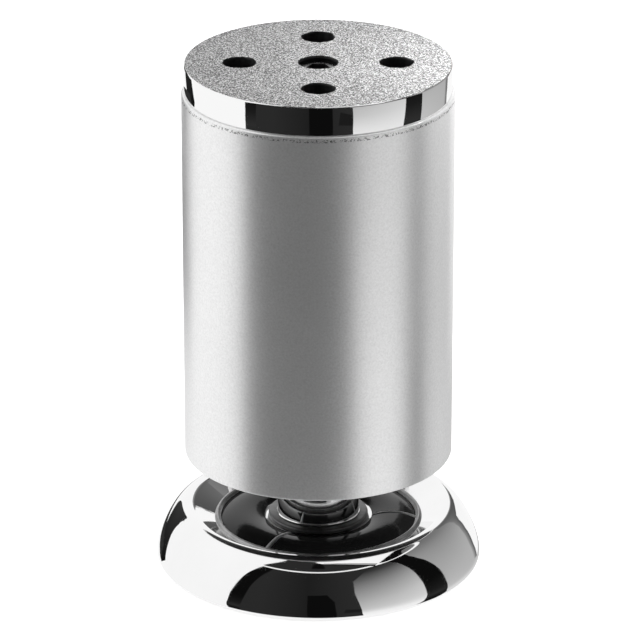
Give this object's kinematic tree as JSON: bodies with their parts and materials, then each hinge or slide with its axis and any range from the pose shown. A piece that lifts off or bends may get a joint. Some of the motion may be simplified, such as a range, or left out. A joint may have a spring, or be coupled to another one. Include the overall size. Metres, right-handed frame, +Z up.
{
  "type": "adjustable metal furniture leg",
  "caption": "Short round adjustable metal furniture leg with a satin tube, a drilled mounting plate and a chromed screw foot.",
  "frame": {"origin": "on the floor under the middle of the foot", "axes": "+Z up along the leg, towards the mounting plate; +X and +Y each through a screw hole of the plate"},
  "size_m": [0.061, 0.061, 0.0983],
  "materials": {
    "plate_metal": "polished edge, blasted face",
    "satin_tube": "satin, finely speckled",
    "polished_chrome": "mirror polished",
    "zinc_steel": "bright zinc plated",
    "spring_steel": "dark, oiled",
    "black_plastic": "fine moulded grain",
    "black_gloss": "smooth and glossy",
    "white_plastic": "natural, smooth"
  },
  "bodies": {
    "leg": {"mounting_plate": "plate_metal", "tube": "satin_tube", "threaded_rod": "zinc_steel", "clamp_nut": "zinc_steel", "clamp_washer": "zinc_steel", "lock_washer": "zinc_steel", "bottom_insert": "black_plastic"},
    "foot": {"foot_shell": "polished_chrome", "dish_inlays": "black_gloss", "glide_ring": "black_plastic", "swivel_washer": "white_plastic"},
    "neck": {"neck_sleeve": "polished_chrome", "retaining_ring": "spring_steel"}
  },
  "joints": [
    {"name": "foot_height", "type": "slide", "parent": "leg", "child": "foot", "axis": [0, 0, 1], "range_m": [-0.005, 0.01]},
    {"name": "neck_turn", "type": "hinge", "parent": "foot", "child": "neck", "pos_m": [0, 0, 0.007], "axis": [0, 0, 1], "range_deg": [-1440, 2880]}
  ],
  "couplings": [
    {"joint": "neck_turn", "follows": "foot_height", "rad_per_m": 5026.5}
  ]
}
